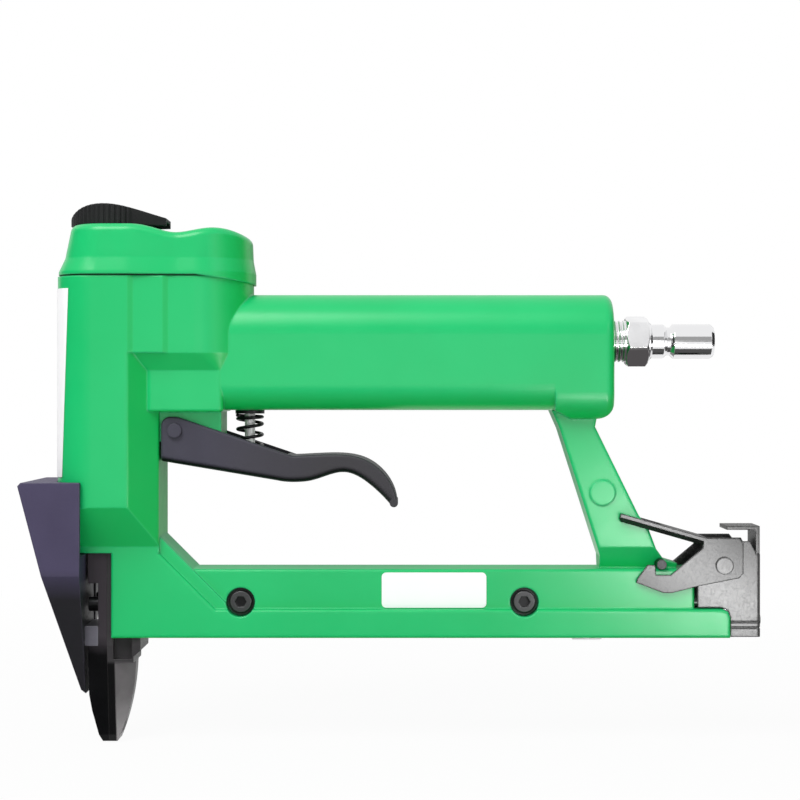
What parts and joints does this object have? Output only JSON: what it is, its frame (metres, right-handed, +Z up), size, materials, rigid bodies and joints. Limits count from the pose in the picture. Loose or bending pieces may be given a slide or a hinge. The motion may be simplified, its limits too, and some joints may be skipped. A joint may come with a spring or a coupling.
{
  "type": "pneumatic point driver",
  "caption": "Compressed-air point driver: green die-cast body with head, handle and beam, lever trigger, drive nose with guard, drawer magazine with latch, and a chromed air plug.",
  "frame": {"origin": "mouth of the drive channel at the nose tip, on the drive axis", "axes": "+Z up along the drive axis, +X from the drive axis to the air plug, +Y to the side without the side label"},
  "size_m": [0.2253, 0.0434, 0.1646],
  "materials": {
    "green_casting": "glossy enamel",
    "black_plastic": "matte moulded",
    "black_steel": "black oxide",
    "grey_steel": "phosphated, satin",
    "satin_steel": "satin zinc",
    "lever_paint": "dark grey, satin",
    "plug_chrome": "polished",
    "bare_alloy": "turned",
    "seal_rubber": "matte",
    "label_film": "satin film, bare"
  },
  "bodies": {
    "tool_body": {"housing": "green_casting", "head_cap": "green_casting", "head_gasket": "seal_rubber", "head_screws": "black_steel", "deflector_washer": "satin_steel", "deflector_screw": "satin_steel", "cylinder_liner": "bare_alloy", "liner_o_rings": "seal_rubber", "bumper": "seal_rubber", "spool_spring": "black_steel", "trigger_valve_bush": "bare_alloy", "spring_disc": "black_steel", "trigger_pin": "grey_steel", "air_plug": "plug_chrome", "trigger_spring": "black_steel", "nose_front_guide": "grey_steel", "nose_rear_guide": "grey_steel", "nose_spacer": "grey_steel", "nose_guard": "black_plastic", "nose_screws": "black_steel", "guard_screw": "black_steel", "magazine_channel": "satin_steel", "beam_screws": "black_steel", "catch_pin": "satin_steel", "side_label": "label_film", "front_label": "label_film"},
    "deflector": {"exhaust_deflector": "black_plastic"},
    "driver": {"piston": "bare_alloy", "piston_o_ring": "seal_rubber", "driver_blade": "satin_steel", "blade_pin": "satin_steel"},
    "main_valve": {"main_valve_spool": "bare_alloy", "spool_o_rings": "seal_rubber"},
    "trigger": {"trigger_lever": "lever_paint"},
    "trigger_valve": {"trigger_valve_stem": "satin_steel", "stem_o_ring": "seal_rubber"},
    "magazine": {"magazine_tray": "satin_steel", "pusher_rod": "satin_steel", "pusher_spring": "black_steel", "bracket_rivets": "satin_steel", "rear_bracket": "satin_steel", "latch_pin": "satin_steel", "latch_spring": "black_steel"},
    "feeder": {"pusher": "grey_steel"},
    "latch": {"latch_lever": "satin_steel"}
  },
  "joints": [
    {"name": "deflector_turn", "type": "hinge", "parent": "tool_body", "child": "deflector", "pos_m": [0, 0, 0.161], "axis": [0, 0, 1], "continuous": true},
    {"name": "piston_drive", "type": "slide", "parent": "tool_body", "child": "driver", "axis": [0, 0, -1], "range_m": [0, 0.0499]},
    {"name": "main_valve_shift", "type": "slide", "parent": "tool_body", "child": "main_valve", "axis": [0, 0, 1], "range_m": [0, 0.004], "stiffness_N_per_m": 250, "springref_m": -0.003, "deforming": ["spool_spring"]},
    {"name": "trigger_pull", "type": "hinge", "parent": "tool_body", "child": "trigger", "pos_m": [0.0209, 0, 0.0955], "axis": [0, -1, 0], "range_deg": [0, 12], "stiffness_Nm_per_rad": 1, "springref_deg": -8.59, "deforming": ["trigger_spring"]},
    {"name": "trigger_valve_lift", "type": "slide", "parent": "tool_body", "child": "trigger_valve", "axis": [0, 0, 1], "range_m": [0, 0.0047]},
    {"name": "magazine_pull", "type": "slide", "parent": "tool_body", "child": "magazine", "axis": [1, 0, 0], "range_m": [0, 0.12]},
    {"name": "pusher_feed", "type": "slide", "parent": "magazine", "child": "feeder", "axis": [1, 0, 0], "range_m": [0, 0.09], "stiffness_N_per_m": 40, "springref_m": -0.05, "deforming": ["pusher_spring"]},
    {"name": "latch_press", "type": "hinge", "parent": "magazine", "child": "latch", "pos_m": [0.1883, 0, 0.0543], "axis": [0, -1, 0], "range_deg": [0, 10], "stiffness_Nm_per_rad": 0.5, "springref_deg": -11.46}
  ],
  "couplings": [
    {"joint": "trigger_valve_lift", "follows": "trigger_pull", "m_per_rad": 0.022}
  ]
}
